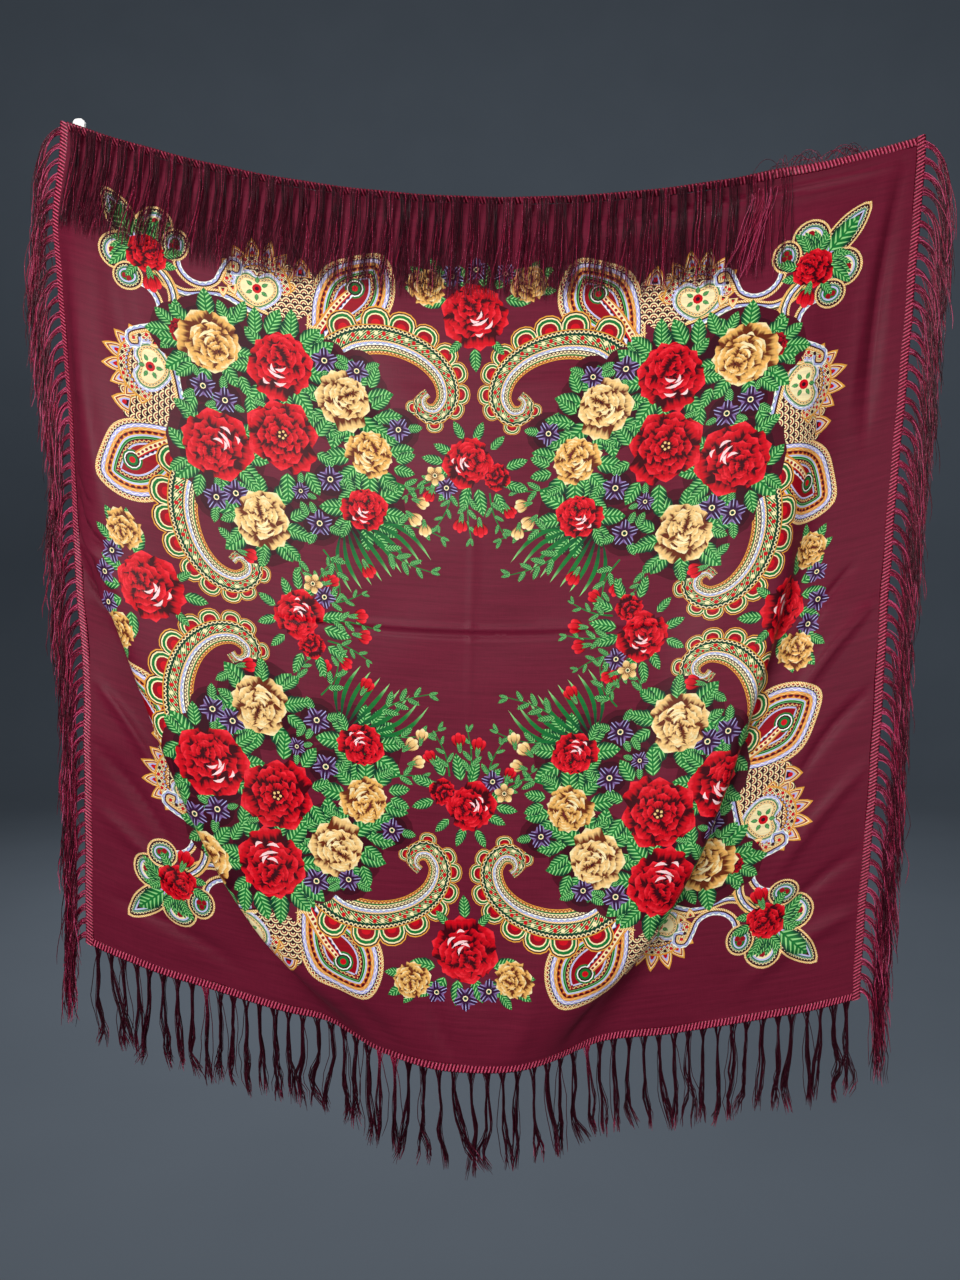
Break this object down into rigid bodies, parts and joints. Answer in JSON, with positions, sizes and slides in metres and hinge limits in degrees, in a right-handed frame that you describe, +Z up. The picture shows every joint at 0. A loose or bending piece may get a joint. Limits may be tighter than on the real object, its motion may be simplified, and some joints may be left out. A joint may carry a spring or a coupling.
{
  "type": "fringed square shawl hung on wall hooks",
  "caption": "Square printed shawl with a braid and long thread fringe on every edge, hung by its top corners on plain wall hooks.",
  "frame": {"origin": "on the wall plane, halfway between the shawl's two top corners, where the two hooks hold it", "axes": "+Z up, +X to the right seen from the front, +Y into the wall; the shawl hangs in front of y = 0"},
  "size_m": [0.9501, 0.0734, 1.0949],
  "materials": {
    "printed_cloth": "plain woven cloth with a satin sheen, burgundy ground with a printed border of flowers and paisleys",
    "fringe_thread": "shiny crimson thread, a ribbed gimp braid and loose bundles",
    "hook_plastic": "white moulded plastic"
  },
  "bodies": {
    "root": {"shawl_cloth": "printed_cloth", "fringe_top": "fringe_thread", "fringe_bottom": "fringe_thread", "fringe_left": "fringe_thread", "fringe_right": "fringe_thread", "hook_left": "hook_plastic", "hook_right": "hook_plastic"}
  },
  "joints": []
}
